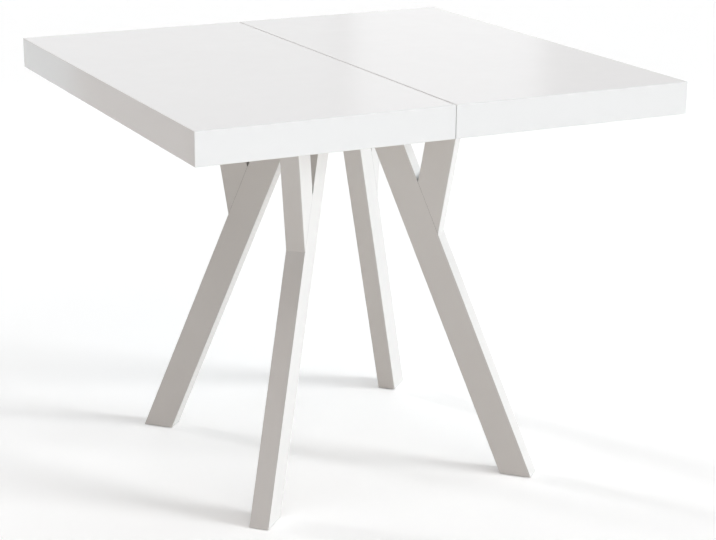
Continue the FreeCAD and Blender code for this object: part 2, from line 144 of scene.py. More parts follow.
# %% Finish
class Finish:
    """A material, or the world, with the nodes that feed its one surface."""

    def __init__(self, owner):
        self.owner = owner
        owner.use_nodes = True
        self.tree = owner.node_tree
        self.tree.nodes.clear()

    def node(self, kind, settings=None, sockets=None, output=0):
        """Any node, with its settings set first and then the values or wires of its sockets."""
        made = self.tree.nodes.new(kind)
        for key, value in (settings or {}).items():
            setattr(made, key, value)
        for key, value in (sockets or {}).items():
            if isinstance(value, Wire):
                self.tree.links.new(value.socket, made.inputs[key])
            else:
                made.inputs[key].default_value = value
        return Wire(self, made.outputs[output]) if made.outputs else None

    def place(self, stretch=(1, 1, 1)):
        """Where a point lies in the frame, in metres, stretched for a pattern with a direction."""
        here = self.node("ShaderNodeTexCoord", output="Object")
        return self.node("ShaderNodeMapping", sockets={"Vector": here, "Scale": stretch})

    def noise(self, where, scale, detail=2.0):
        """Soft random spots from 0 to 1, about 1 / scale metres across."""
        return self.node("ShaderNodeTexNoise", sockets={"Vector": where, "Scale": scale, "Detail": detail})

    def mix(self, share, first, second):
        """Colour between two colours."""
        first, second = (shade if isinstance(shade, Wire) else (*shade, 1) for shade in (first, second))
        return self.node("ShaderNodeMix", {"data_type": "RGBA"}, {0: share, 6: first, 7: second}, output=2)

    def step(self, value, low, high):
        """0 below low and 1 above high, with a smooth step between."""
        return self.node("ShaderNodeMapRange", {"interpolation_type": "SMOOTHSTEP"},
                         {"Value": value, "From Min": low, "From Max": high})

    def relief(self, height, depth):
        """Bumps of a height from 0 to 1, as deep as a depth in metres."""
        return self.node("ShaderNodeBump", sockets={"Height": height, "Distance": depth})

    def show(self, shader):
        """Make a shader the surface of the material or the world."""
        world = isinstance(self.owner, bpy.types.World)
        output = "ShaderNodeOutputWorld" if world else "ShaderNodeOutputMaterial"
        self.node(output, sockets={"Surface": shader})
        return self.owner

    def surface(self, sockets):
        return self.show(self.node("ShaderNodeBsdfPrincipled", sockets=sockets))


def new_finish(name):
    return Finish(bpy.data.materials.new(name))


def part_of(share, colour):
    """A colour made darker, down to a share of itself."""
    return [share * part for part in colour]


print("finishes can be written")

# %% [markdown]
# ## White lacquer
# The top and the legs are sprayed white. A sprayed coat is never quite flat: it keeps a faint orange-peel
# relief a few millimetres across, and wiping leaves patches that are a little more matt. Both are kept so
# small that they only soften reflections. Where two pieces are glued, a dark line of painted shade may be
# laid into the coat.

# %% Lacquer
CLOUD_SHADE = 0.985
PAINTED_JOINT_SHADE = 0.15


def lacquer(name, colour, peel_depth, gloss, matt, joint_shade_mask=None):
    """Sprayed coat with a roughness from gloss to matt, and painted shade where `joint_shade_mask` finds a
    joint.
    """
    finish = new_finish(name)
    where = finish.place()
    cloud = finish.noise(where, scale=5.0, detail=3.0)
    wiped = finish.noise(where, scale=40.0, detail=4.0)
    peel = finish.noise(where, scale=300.0, detail=1.0)
    coat = finish.mix(cloud, part_of(CLOUD_SHADE, colour), colour)
    if joint_shade_mask:
        # painted shade: the coat is darkened along the joint line and in the corner of the fork
        coat = finish.mix(joint_shade_mask(finish, where), coat, part_of(PAINTED_JOINT_SHADE, colour))
    return finish.surface({
        "Base Color": coat,
        "Roughness": gloss + (matt - gloss) * (0.6 * cloud + 0.4 * wiped),
        "Normal": finish.relief(peel, peel_depth)})


top_white = lacquer("top_lacquer", (0.827, 0.84, 0.85), peel_depth=0.00001, gloss=0.17, matt=0.24)
print("lacquer:", top_white.name)

# %% [markdown]
# ## Shaping pieces
# Each remodelled board or bar starts as a box at its real size, gets its edges rounded while it is still
# a box, and is then cut to its mitres and slopes with straight cuts, the way a joiner would saw it.
# Rounding first keeps the mitre lines sharp where two pieces meet.

# %% Helpers for shaping
SAME_PLACE = 1e-6
SMOOTH_BELOW = math.radians(40)


def plank(middle, size, turn=(0, 0, 0)):
    """Box of a size round a middle, selected and ready to be shaped."""
    bpy.ops.object.select_all(action="DESELECT")
    bpy.ops.mesh.primitive_cube_add(size=1, location=middle, rotation=turn, scale=size)
    bpy.ops.object.transform_apply()
    return bpy.context.object


def round_edges(radius, wanted, steps):
    """Round those edges of the piece in hand that a test of their two ends picks."""
    piece = bpy.context.object
    bpy.ops.object.mode_set(mode="EDIT")
    bpy.ops.mesh.select_mode(type="EDGE")
    bpy.ops.mesh.select_all(action="DESELECT")
    bpy.ops.object.mode_set(mode="OBJECT")
    points = piece.data.vertices
    for edge in piece.data.edges:
        first, second = (points[index].co for index in edge.vertices)
        edge.select = wanted(first, second)
    bpy.ops.object.mode_set(mode="EDIT")
    bpy.ops.mesh.bevel(offset=radius, segments=steps)
    bpy.ops.object.mode_set(mode="OBJECT")


def saw(point, away):
    """Cut the piece in hand at a plane, drop what lies away from it and close the cut."""
    bpy.ops.object.mode_set(mode="EDIT")
    bpy.ops.mesh.select_all(action="SELECT")
    bpy.ops.mesh.bisect(plane_co=point, plane_no=away, use_fill=True, clear_outer=True,
                        threshold=SAME_PLACE)
    bpy.ops.object.mode_set(mode="OBJECT")


def even_light(piece):
    """Turn all faces outwards and shade the roundings smooth while the flats stay flat."""
    bpy.ops.object.mode_set(mode="EDIT")
    bpy.ops.mesh.select_all(action="SELECT")
    bpy.ops.mesh.remove_doubles(threshold=SAME_PLACE)
    bpy.ops.mesh.normals_make_consistent(inside=False)
    bpy.ops.object.mode_set(mode="OBJECT")
    bpy.ops.object.shade_smooth_by_angle(angle=SMOOTH_BELOW)
    weight = piece.modifiers.new("even_light", "WEIGHTED_NORMAL")
    weight.keep_sharp = True
    bpy.ops.object.modifier_apply(modifier=weight.name)
    return piece


print("pieces can be shaped")

# %% [markdown]
# ## Placing pieces
# A finished piece takes over from its CAD node: it rides on the same body, the node is hidden, and it
# gets the finish that it is given. Copies get a mesh of their own, with the move applied to it, so
# that every piece sits at the origin and its place is in its mesh.

# %% Helpers for placing
def take(piece):
    """Make a piece the only one selected."""
    bpy.ops.object.select_all(action="DESELECT")
    piece.select_set(True)
    bpy.context.view_layer.objects.active = piece


def copy_of(piece, move):
    """Copy of a piece with its own mesh, moved or turned."""
    twin = piece.copy()
    twin.data = piece.data.copy()
    bpy.context.scene.collection.objects.link(twin)
    twin.matrix_world = move
    take(twin)
    bpy.ops.object.transform_apply()
    return twin


def settle(piece, node, finish):
    """Let a finished piece stand for its CAD node, on the same body and in its own finish."""
    piece.name = piece.data.name = node + "_shaped"
    piece.data.materials.clear()
    piece.data.materials.append(finish)
    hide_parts(node)
    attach(piece, body_of[node])
    return piece


print("pieces can be placed")

# %% [markdown]
# ## Half tops
# Each half top looks like one thick slab, but is a board with three aprons glued under its edges. The
# joints are mitred, from the outer arris to the corner under the board, so no joint line shows. A slab
# with rounded edges is sawn along those mitres four times over, and each time another piece is kept.

# %% Slab of a half top
EDGE_HEIGHT = 0.056
BOARD = 0.018
SEAM_FACE = 0.0004
EDGE_ROUND = 0.0012
SEAM_ROUND = 0.0028
EDGE_STEPS = 3
TABLE_HEIGHT = cad_high.z
HALF_LENGTH = cad_high.x
HALF_DEPTH = cad_high.y
BOARD_UNDER = TABLE_HEIGHT - BOARD


def slab(side):
    """Half top as one slab, whose upper edge at the seam is rounded more than its other edges."""
    size = (HALF_LENGTH - SEAM_FACE, 2 * HALF_DEPTH, EDGE_HEIGHT)
    piece = plank((side * (HALF_LENGTH + SEAM_FACE) / 2, 0, TABLE_HEIGHT - EDGE_HEIGHT / 2), size)
    weights = piece.data.attributes.new("bevel_weight_edge", "FLOAT", "EDGE")
    points = piece.data.vertices
    for edge, weight in zip(piece.data.edges, weights.data):
        ends = [points[index].co for index in edge.vertices]
        over_seam = all(abs(end.x) < HALF_LENGTH / 2 and end.z > BOARD_UNDER for end in ends)
        weight.value = 1.0 if over_seam else EDGE_ROUND / SEAM_ROUND
    rounding = piece.modifiers.new("rounding", "BEVEL")
    rounding.limit_method = "WEIGHT"
    rounding.width = SEAM_ROUND
    rounding.segments = EDGE_STEPS
    bpy.ops.object.modifier_apply(modifier=rounding.name)
    return piece


print("slab: edge", 1000 * EDGE_HEIGHT, "mm deep, gap at the seam", 2000 * SEAM_FACE, "mm")

# %% Pieces that are sawn from a slab
def top_board(side):
    piece = slab(side)
    saw((side * HALF_LENGTH, 0, TABLE_HEIGHT), (side, 0, -1))
    saw((0, -HALF_DEPTH, TABLE_HEIGHT), (0, -1, -1))
    saw((0, HALF_DEPTH, TABLE_HEIGHT), (0, 1, -1))
    saw((0, 0, BOARD_UNDER), (0, 0, -1))
    return piece


def end_apron(side):
    piece = slab(side)
    saw((side * HALF_LENGTH, 0, TABLE_HEIGHT), (-side, 0, 1))
    saw((side * (HALF_LENGTH - BOARD), 0, 0), (-side, 0, 0))
    saw((side * HALF_LENGTH, -HALF_DEPTH, 0), (-side, -1, 0))
    saw((side * HALF_LENGTH, HALF_DEPTH, 0), (-side, 1, 0))
    return piece


def side_apron(side, end):
    piece = slab(side)
    saw((0, end * HALF_DEPTH, TABLE_HEIGHT), (0, -end, 1))
    saw((0, end * (HALF_DEPTH - BOARD), 0), (0, -end, 0))
    saw((side * HALF_LENGTH, end * HALF_DEPTH, 0), (side, -end, 0))
    return piece


def settle_white(piece, node):
    """Finish a piece of a half top and put it in the place of its node."""
    return settle(even_light(piece), node, top_white)


SIDES = {"left": -1, "right": 1}
ENDS = {"front": -1, "back": 1}
boards = {}
for side_name, side in SIDES.items():
    boards[side_name] = settle_white(top_board(side), side_name + "_top_board")
    settle_white(end_apron(side), side_name + "_end_apron")
    for end_name, end in ENDS.items():
        settle_white(side_apron(side, end), f"{side_name}_{end_name}_apron")
print("half tops:", [len(board.data.polygons) for board in boards.values()], "faces on the boards")

# %% [markdown]
# ## Forked legs
# A leg is a straight bar that leans in along the diagonal of the top, with a shorter branch glued to its
# outer side, so that the two make a lopsided fork. Bar and branch are modelled once along +X, both from
# the same rounded plank, and copied to the four diagonals later. The edges of the bar that the branch is
# glued to are nearly sharp, so that the two lie flush.

# %% Measures of a fork
BAR_WIDTH = 0.055
FOOT_REACH = 0.335
BAR_TOP_REACH = 0.035
BRANCH_TOP_REACH = 0.250
FORK_HEIGHT = 0.452
LEG_TOP = 0.720

bar_slope = (FOOT_REACH - BAR_TOP_REACH) / LEG_TOP
bar_lean = math.atan(bar_slope)
bar_span = BAR_WIDTH / math.cos(bar_lean)
fork_reach = FOOT_REACH + bar_span - bar_slope * FORK_HEIGHT
branch_slope = (BRANCH_TOP_REACH - fork_reach) / (LEG_TOP - FORK_HEIGHT)
branch_lean = math.atan(branch_slope)
branch_span = BAR_WIDTH / math.cos(branch_lean)
leans = [round(math.degrees(lean), 2) for lean in (bar_lean, branch_lean)]
print("leg: bar and branch lean", leans, "degrees")

# %% One bar and one branch
BAR_THICKNESS = 0.036
BAR_ROUND = 0.0012
GLUED_ROUND = 0.0003
GLUE = 0.00003
PAD_THICKNESS = 0.001
SPARE_LENGTH = 1.2
LONG_EDGE = 0.9


def along_leg(middle, lean, length, outer_round):
    """Plank on a slope, with its long edges rounded, the outer two in their own way."""
    piece = plank(middle, (BAR_WIDTH, BAR_THICKNESS, length), (0, lean, 0))
    for side, radius in ((-1, BAR_ROUND), (1, outer_round)):
        round_edges(radius, lambda first, second: (first - second).length > LONG_EDGE * length
                    and side * (first.x + second.x - 2 * middle[0]) > 0, EDGE_STEPS)
    return piece


def leg_bar():
    middle = ((FOOT_REACH + BAR_TOP_REACH + bar_span) / 2, 0, LEG_TOP / 2)
    piece = along_leg(middle, -bar_lean, SPARE_LENGTH * LEG_TOP, GLUED_ROUND)
    saw((0, 0, PAD_THICKNESS), (0, 0, -1))
    saw((0, 0, LEG_TOP), (0, 0, 1))
    return piece


def leg_branch():
    height = (FORK_HEIGHT + LEG_TOP) / 2
    reach = (fork_reach + BRANCH_TOP_REACH - branch_span) / 2
    piece = along_leg((reach, 0, height), branch_lean, LEG_TOP, BAR_ROUND)
    saw((0, 0, LEG_TOP), (0, 0, 1))
    saw((fork_reach + GLUE, 0, FORK_HEIGHT), (-math.cos(bar_lean), 0, -math.sin(bar_lean)))
    return piece


bar = even_light(leg_bar())
branch = even_light(leg_branch())
print("leg:", len(bar.data.polygons), "faces on the bar and", len(branch.data.polygons), "on the branch")

# %% [markdown]
# ## Lacquer of the legs
# The legs are rubbed down less than the top and are a touch more matt. A thin dark line of painted shade
# shows where bar and branch meet, and spreads up into the corner of the fork as a darker patch of painted
# shade. It stands in for the shade in a gap: a gap as thin as a hair comes and goes with the light, so
# the shade is painted into the coat, where a point is on the plane of the joint.

# %% Lacquer with painted shade at the fork
LINE_WIDTH = 0.0003
LINE_BLUR = 0.2
CORNER_SHADE_RISE = 0.015


def fork_painted_shade(finish, where):
    """1 where shade is painted: on the line between bar and branch of any leg and in the corner of the
    fork, and 0 elsewhere.
    """
    x, y, z = (finish.node("ShaderNodeSeparateXYZ", sockets={"Vector": where}, output=axis)
               for axis in "XYZ")
    reach = math.sqrt(0.5) * (abs(x) + abs(y))
    joint = fork_reach * math.cos(bar_lean) + FORK_HEIGHT * math.sin(bar_lean)
    past_joint = math.cos(bar_lean) * reach + math.sin(bar_lean) * z - joint
    off_line = abs(past_joint + LINE_WIDTH / 3)
    half = LINE_WIDTH / 2
    on_line = 1 - finish.step(off_line, (1 - LINE_BLUR) * half, (1 + LINE_BLUR) * half)
    corner = FORK_HEIGHT + branch_span / (bar_slope + branch_slope)
    # painted shade in the corner of the fork: the face of the bar in the fork is darkened up to a little
    # above the corner
    corner_shade_reach = 1 - finish.step(z, corner, corner + CORNER_SHADE_RISE)
    return on_line * corner_shade_reach * finish.step(z, FORK_HEIGHT, FORK_HEIGHT + LINE_WIDTH)


leg_white = lacquer("leg_lacquer", (0.760, 0.752, 0.743), peel_depth=0.00003, gloss=0.34, matt=0.44,
                    joint_shade_mask=fork_painted_shade)
print("lacquer:", leg_white.name)

# %% [markdown]
# ## Pads under the feet
# Each foot stands on a thin plastic pad, set in a little from the edges of the bar so that it hardly
# shows. The pad is a flat plate with its four corners and its lower edge rounded. Moulded plastic has a
# fine, even grain.

# %% One pad
PAD_MARGIN = 0.002
PAD_CORNER = 0.005
PAD_EDGE = 0.0003

pad_near = FOOT_REACH - bar_slope * PAD_THICKNESS + PAD_MARGIN
pad_size = (bar_span - 2 * PAD_MARGIN, BAR_THICKNESS - 2 * PAD_MARGIN, PAD_THICKNESS)
pad = plank((pad_near + pad_size[0] / 2, 0, PAD_THICKNESS / 2), pad_size)
round_edges(PAD_CORNER, lambda first, second: abs(first.z - second.z) > PAD_THICKNESS / 2, steps=5)
round_edges(PAD_EDGE, lambda first, second: max(first.z, second.z) < PAD_THICKNESS / 4, steps=2)
even_light(pad)

pad_grey = new_finish("foot_plastic")
mould_grain = pad_grey.noise(pad_grey.place(), scale=1500.0, detail=3.0)
pad_grey.surface({
    "Base Color": pad_grey.mix(mould_grain, (0.57, 0.57, 0.56), (0.63, 0.63, 0.62)),
    "Roughness": 0.5 + 0.15 * mould_grain,
    "Normal": pad_grey.relief(mould_grain, 0.00005)})
print("pad:", [round(1000 * side, 1) for side in pad_size], "mm")

# %% [markdown]
# ## Four corners
# The four legs are alike, so the bar, the branch and the pad are turned round the middle of the table to
# each diagonal. Each copy has its own mesh and stands for the node of that corner. The patterns are then
# thrown away. The branches are kept in a list, because some lamps will need them.

# %% Legs and pads to the four diagonals
branches = []
for side_name, side in SIDES.items():
    for end_name, end in ENDS.items():
        turn = Matrix.Rotation(math.atan2(end, side), 4, "Z")
        corner = f"{end_name}_{side_name}_"
        settle(copy_of(bar, turn), corner + "leg_bar", leg_white)
        branches.append(settle(copy_of(branch, turn), corner + "leg_branch", leg_white))
        settle(copy_of(pad, turn), corner + "foot_pad", pad_grey.owner)
for pattern in (bar, branch, pad):
    bpy.data.objects.remove(pattern)
print("legs:", len(branches), "bars, branches and pads placed")

# %% [markdown]
# ## Pins across the seam
# Three round wooden pins in the right board slide into holes in the left board and keep the two halves
# level. They show when the table is open. A cylinder gets its nose rounded, and the holes are the same
# cylinder made a little wider and taken away from the left board.

# %% Helpers for round bars and holes
ROUND_SIDES = 32


def rod(radius, length, middle, turn=(0, 0, 0), sides=ROUND_SIDES):
    """Round bar of a length round a middle, upright unless it is turned, and ready to be shaped."""
    bpy.ops.object.select_all(action="DESELECT")
    bpy.ops.mesh.primitive_cylinder_add(vertices=sides, radius=radius, depth=length, location=middle,
                                        rotation=turn)
    bpy.ops.object.transform_apply()
    return bpy.context.object


def joined(pieces):
    """Several pieces made one object."""
    bpy.ops.object.select_all(action="DESELECT")
    for piece in pieces:
        piece.select_set(True)
    bpy.context.view_layer.objects.active = pieces[0]
    bpy.ops.object.join()
    return pieces[0]


def cut_away(piece, tool):
    """Take the space of a tool away from a piece, and the tool itself out of the scene."""
    take(piece)
    cut = piece.modifiers.new("cut", "BOOLEAN")
    cut.operation = "DIFFERENCE"
    cut.solver = "EXACT"
    cut.object = tool
    bpy.ops.object.modifier_apply(modifier=cut.name)
    bpy.data.objects.remove(tool)


print("round bars have", ROUND_SIDES, "sides")

# %% Pins and their holes
PIN_RADIUS = 0.004
PIN_SET = 0.018
PIN_REACH = 0.012
PIN_NOSE = 0.0022
PIN_PLAY = 0.0003
PIN_PLACES = (-0.2, 0.0, 0.2)
NEAR = 1e-5

pin_level = TABLE_HEIGHT - BOARD / 2
pin_end = -SEAM_FACE - PIN_REACH


def along_x(radius, start, end, y):
    """Round bar along X at the level of the pins."""
    return rod(radius, end - start, ((start + end) / 2, y, pin_level), turn=(0, math.pi / 2, 0))


pins, holes = [], []
for y in PIN_PLACES:
    pins.append(along_x(PIN_RADIUS, pin_end, SEAM_FACE + PIN_SET, y))
    round_edges(PIN_NOSE, lambda first, second: max(first.x, second.x) < pin_end + NEAR, steps=4)
    even_light(pins[-1])
    holes.append(along_x(PIN_RADIUS + PIN_PLAY, pin_end - PIN_PLAY, PIN_REACH, y))

cut_away(boards["left"], joined(holes))
print("pins:", len(pins), "- left board has", len(boards["left"].data.polygons), "faces with its holes")

# %% [markdown]
# ## Bare wood
# The bearers, glue blocks, dowels and pins are plain pale wood that nobody sees when the table is shut.
# Long streaks run along the grain, so the pattern is squeezed across it, and fine pores make the surface
# slightly rough. The grain runs along X in the pins and along Y in the rest.

# %% Wood finish
GRAIN_ACROSS = 30.0
GRAIN_ALONG = 1.6
PORES_PER_STREAK = 24


def bare_wood(name, along):
    finish = new_finish(name)
    stretch = [GRAIN_ALONG if axis == along else GRAIN_ACROSS for axis in "xyz"]
    streaks = finish.noise(finish.place(stretch), scale=1.0, detail=4.0)
    pores = finish.noise(finish.place([PORES_PER_STREAK * part for part in stretch]), scale=1.0)
    figure = finish.step(streaks, 0.35, 0.7)
    dark_pores = finish.step(pores, 0.6, 0.75)
    return finish.surface({
        "Base Color": finish.mix(0.75 * figure + 0.25 * dark_pores, (0.74, 0.60, 0.43), (0.58, 0.42, 0.26)),
        "Roughness": 0.55 + 0.2 * streaks,
        "Normal": finish.relief(1 - dark_pores, 0.00008)})


wood_along_x = bare_wood("bare_wood_along_x", "x")
wood_along_y = bare_wood("bare_wood_along_y", "y")
settle(joined(pins), "seam_pins", wood_along_x)
print("wood:", wood_along_x.name, wood_along_y.name)

# %% [markdown]
# ## Screws
# The rails, the lock plates and the leg plates are held with small raised-head screws that have a cross
# slot. One is modelled from a cylinder: the rim is rounded into a low dome, the shank is drawn out of the
# seat, and two crossed bars are taken away for the slot.

# %% One screw, head down, with its seat at the origin
HEAD_RADIUS = 0.004
HEAD_HEIGHT = 0.0022
HEAD_DOME = 0.0017
HEAD_SIDES = 24
SHANK_RADIUS = 0.002
SHANK_LENGTH = 0.015
SHANK_TIP = 0.3
SLOT_LENGTH = 0.0042
SLOT_WIDTH = 0.0009
SLOT_DEPTH = 0.0012
FACES_UP = 0.9


def chosen_faces(piece, test):
    """Select the faces of a piece whose middle and normal pass a test, and go into edit mode."""
    take(piece)
    bpy.ops.object.mode_set(mode="EDIT")
    bpy.ops.mesh.select_mode(type="FACE")
    bpy.ops.mesh.select_all(action="DESELECT")
    bpy.ops.object.mode_set(mode="OBJECT")
    for face in piece.data.polygons:
        face.select = test(face.center, face.normal)
    bpy.ops.object.mode_set(mode="EDIT")


screw = rod(HEAD_RADIUS, HEAD_HEIGHT, (0, 0, -HEAD_HEIGHT / 2), sides=HEAD_SIDES)
round_edges(HEAD_DOME, lambda first, second: max(first.z, second.z) < NEAR - HEAD_HEIGHT, steps=4)
chosen_faces(screw, lambda middle, normal: normal.z > FACES_UP)
bpy.ops.mesh.inset(thickness=HEAD_RADIUS - SHANK_RADIUS)
bpy.ops.mesh.extrude_region_move(TRANSFORM_OT_translate={"value": (0, 0, SHANK_LENGTH)})
bpy.ops.transform.resize(value=(SHANK_TIP, SHANK_TIP, 1))
bpy.ops.object.mode_set(mode="OBJECT")
for size in ((SLOT_LENGTH, SLOT_WIDTH), (SLOT_WIDTH, SLOT_LENGTH)):
    cut_away(screw, plank((0, 0, -HEAD_HEIGHT), (*size, 2 * SLOT_DEPTH)))
even_light(screw)
print("screw:", len(screw.data.polygons), "faces")

# %% [markdown]
# ## Zinc plating
# Plates, screws, rivets and levers are bright zinc-plated steel. Zinc has a slightly blue, mottled shine:
# small crystals change how sharp the reflection is, and the plating is never perfectly even.

# %% Zinc finish
zinc = new_finish("plated_steel")
metal_place = zinc.place()
crystals = zinc.noise(metal_place, scale=900.0, detail=3.0)
clouds = zinc.noise(metal_place, scale=60.0, detail=3.0)
zinc.surface({
    "Base Color": zinc.mix(clouds, (0.60, 0.61, 0.64), (0.70, 0.71, 0.72)),
    "Metallic": 1.0,
    "Roughness": 0.24 + 0.16 * crystals + 0.10 * clouds,
    "Normal": zinc.relief(crystals, 0.00002)})
print("metal:", zinc.owner.name)

# %% [markdown]
# ## Screws in their places
# The CAD nodes say where every screw goes: the points of a node that lie close together belong to one
# screw. The one screw is copied there, and each copy is turned a little further, because nobody drives
# all screws to the same angle.

# %% Screws to their seats
SAME_SCREW = 3 * HEAD_RADIUS
TURN_PER_SCREW = 0.7
TURN_PER_METRE = 40


def screw_seats(node):
    """Where the heads of the upright screws of a CAD node have their seats."""
    groups = []
    for vertex in nodes[node].data.vertices:
        near = [group for group in groups if (group[0].xy - vertex.co.xy).length < SAME_SCREW]
        if near:
            near[0].append(vertex.co)
        else:
            groups.append([vertex.co])
    seats = []
    for group in groups:
        xs, ys, zs = zip(*group)
        seats.append(((min(xs) + max(xs)) / 2, (min(ys) + max(ys)) / 2, min(zs) + HEAD_HEIGHT))
    return seats


placed = 0
for side_name in SIDES:
    for kind in ("rail_screws", "lock_screws", "leg_plate_screws"):
        node = f"{side_name}_{kind}"
        copies = []
        for number, seat in enumerate(screw_seats(node)):
            turn = Matrix.Rotation(TURN_PER_SCREW * number + TURN_PER_METRE * seat[0], 4, "Z")
            copies.append(copy_of(screw, Matrix.Translation(seat) @ turn))
        placed += len(copies)
        settle(joined(copies), node, zinc.owner)
bpy.data.objects.remove(screw)
print("screws placed:", placed)

# %% [markdown]
# ## Turned pieces
# The stop pins of the slides, the rivets of the locks and the studs that the hooks take are turned parts:
# short round steps on one axis. A profile could be spun into shape, but here a cylinder is the first step
# and its end is drawn out for each further one, so that every step is just a radius and a level.

# %% Helper for turned pieces
TURNED_RIM = 0.0005


def turned(start, steps):
    """Round steps of (radius, level) along +Z from a start, with the rim at the start rounded."""
    radius, level = steps[0]
    piece = rod(radius, level - start, (0, 0, (start + level) / 2))
    for next_radius, next_level in steps[1:]:
        chosen_faces(piece, lambda middle, normal: normal.z > FACES_UP and middle.z > level - NEAR)
        bpy.ops.mesh.extrude_region_move()
        bpy.ops.transform.resize(value=(next_radius / radius, next_radius / radius, 1))
        bpy.ops.mesh.extrude_region_move(TRANSFORM_OT_translate={"value": (0, 0, next_level - level)})
        bpy.ops.object.mode_set(mode="OBJECT")
        radius, level = next_radius, next_level
    round_edges(TURNED_RIM, lambda first, second: max(first.z, second.z) < start + NEAR, EDGE_STEPS)
    return even_light(piece)


print("turned pieces have a rim of", 1000 * TURNED_RIM, "mm")

# %% [markdown]
# ## Stop pins
# A headed pin in the outer wall of each rail reaches into the channel and stops the beam at full travel.
# Its head lies on the outside of the rail. The pin is turned upright and then laid over, with its head at
# the end where the CAD pin has it.

# %% Stop pins of the slides
STOP_HEAD_RADIUS = 0.005
STOP_HEAD_HEIGHT = 0.002
STOP_RADIUS = 0.003

for side_name, side in SIDES.items():
    node = side_name + "_stop_pins"
    low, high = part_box(node)
    copies = []
    for end in ENDS.values():
        ys = [vertex.co.y for vertex in nodes[node].data.vertices if end * vertex.co.y > 0]
        head_y = min(ys) if end == side else max(ys)
        pin = turned(0, [(STOP_HEAD_RADIUS, STOP_HEAD_HEIGHT), (STOP_RADIUS, max(ys) - min(ys))])
        turn = Matrix.Rotation(math.radians(-90 * end * side), 4, "X")
        place = Matrix.Translation(((low.x + high.x) / 2, head_y, (low.z + high.z) / 2))
        copies.append(copy_of(pin, place @ turn))
        bpy.data.objects.remove(pin)
    settle(joined(copies), node, zinc.owner)
print("stop pins:", len(SIDES) * len(ENDS))

# %% [markdown]
# ## Rivets of the locks
# A rivet carries each lever. Its place is the turning axis of the lever, and its steps follow from the
# boxes of the CAD nodes round it: the head, the shank that the lever turns on, a shoulder up to the base
# plate, and the shank again up to the board.

# %% Rivets
RIVET_HEAD_RADIUS = 0.006
RIVET_HEAD_HEIGHT = 0.002
RIVET_RADIUS = 0.003
RIVET_GAP = 0.0003

lock_joint = next(joint for joint in behaviour["joints"] if joint["name"] == "front_lock_turn")
lock_x, lock_y = lock_joint["pos_m"][:2]
base_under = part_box("lock_bases")[0].z
lever_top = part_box("front_lock_lever")[1].z
rivet_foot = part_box("lock_rivets")[0].z
rivet = turned(rivet_foot, [(RIVET_HEAD_RADIUS, rivet_foot + RIVET_HEAD_HEIGHT),
                            (RIVET_RADIUS, lever_top + RIVET_GAP),
                            (RIVET_HEAD_RADIUS, base_under),
                            (RIVET_RADIUS, BOARD_UNDER)])
both_locks = [Matrix.Translation((0, end * lock_y, 0)) for end in (1, -1)]
on_axis = Matrix.Translation((lock_x, 0, 0))
settle(joined([copy_of(rivet, on_axis @ lock) for lock in both_locks]), "lock_rivets",
       zinc.owner)
bpy.data.objects.remove(rivet)
print("rivets:", len(both_locks), "at", round(-1000 * lock_x, 1), "mm from the seam")

# %% [markdown]
# ## Keepers of the locks
# A keeper is a small plate with clipped corners, screwed to the right board, with a headed stud for the
# hook of the lever. The plate is modelled at the middle of the table, with holes where the CAD screws go,
# joined with its stud and copied to both locks.

# %% Keepers
STUD_TO_SEAM = 0.014
STUD_HEAD_RADIUS = 0.0045
STUD_HEAD_HEIGHT = 0.0015
STUD_RADIUS = 0.0025
PLATE_CLIP = 0.004
PLATE_RIM = 0.0003

keeper_low, keeper_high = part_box("lock_keepers")
plate_half = keeper_high.y + lock_y
plate_size = (keeper_high.x - keeper_low.x, 2 * plate_half, BOARD_UNDER - base_under)
plate_level = (base_under + BOARD_UNDER) / 2
keeper = plank(((keeper_low.x + keeper_high.x) / 2, 0, plate_level), plate_size)
round_edges(PLATE_CLIP, lambda first, second: abs(first.z - second.z) > plate_size[2] / 2, steps=1)
round_edges(PLATE_RIM, lambda first, second: max(first.z, second.z) < base_under + NEAR, steps=2)
even_light(keeper)
for x, y, _ in screw_seats("right_lock_screws"):
    if y < 0:
        keeper_hole = turned(base_under - HEAD_HEIGHT, [(SHANK_RADIUS, BOARD_UNDER + HEAD_HEIGHT)])
        cut_away(keeper, copy_of(keeper_hole, Matrix.Translation((x, y - lock_y, 0))))
        bpy.data.objects.remove(keeper_hole)

stud_foot = keeper_low.z
stud = turned(stud_foot, [(STUD_HEAD_RADIUS, stud_foot + STUD_HEAD_HEIGHT), (STUD_RADIUS, plate_level)])
keeper = joined([keeper, copy_of(stud, Matrix.Translation((STUD_TO_SEAM, 0, 0)))])
bpy.data.objects.remove(stud)
settle(joined([copy_of(keeper, lock) for lock in both_locks]), "lock_keepers", zinc.owner)
bpy.data.objects.remove(keeper)
print("keepers:", len(both_locks), "of", [round(1000 * side, 1) for side in plate_size], "mm")

# %% [markdown]
# ## Slides, shoes and strips
# The slides are drawn aluminium: fine lines from the die run along X and stretch the highlights. Their
# shoes are natural nylon, faintly waxy and cloudy. The packing strips are black pressed fibre.

# %% Finishes of the slides
DIE_LINES = (2.0, 2500.0, 2500.0)
FIBRE_THREADS = (200.0, 1200.0, 1200.0)

drawn = new_finish("slide_aluminium")
lines = drawn.noise(drawn.place(DIE_LINES), scale=1.0, detail=3.0)
film = drawn.noise(drawn.place(), scale=25.0, detail=3.0)
drawn.surface({
    "Base Color": drawn.mix(film, (0.74, 0.75, 0.76), (0.79, 0.80, 0.81)),
    "Metallic": 1.0,
    "Roughness": 0.30 + 0.12 * lines + 0.06 * film,
    "Normal": drawn.relief(lines, 0.00002)})

nylon = new_finish("slide_nylon")
haze = nylon.noise(nylon.place(), scale=120.0, detail=3.0)
nylon.surface({
    "Base Color": nylon.mix(haze, (0.77, 0.76, 0.70), (0.82, 0.81, 0.76)),
    "Roughness": 0.38 + 0.14 * haze,
    "Normal": nylon.relief(haze, 0.00004)})

